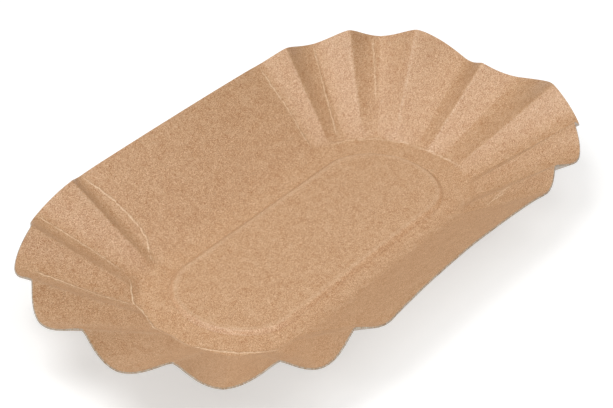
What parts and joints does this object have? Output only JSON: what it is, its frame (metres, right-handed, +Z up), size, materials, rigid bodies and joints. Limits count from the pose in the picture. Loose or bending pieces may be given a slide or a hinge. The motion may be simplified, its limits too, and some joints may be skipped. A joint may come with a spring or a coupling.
{
  "type": "kraft paper food boat",
  "caption": "Pressed kraft board food boat with plain flared sides, pleated round ends and a raised panel in its base.",
  "frame": {"origin": "on the table, under the centre of the tray's outline", "axes": "+X along the tray's length, +Y across it, +Z up"},
  "size_m": [0.2086, 0.1142, 0.0247],
  "materials": {
    "kraft_board": "matt, fibrous brown kraft face with a greyer underside and cut edge"
  },
  "bodies": {
    "root": {"tray": "kraft_board"}
  },
  "joints": []
}
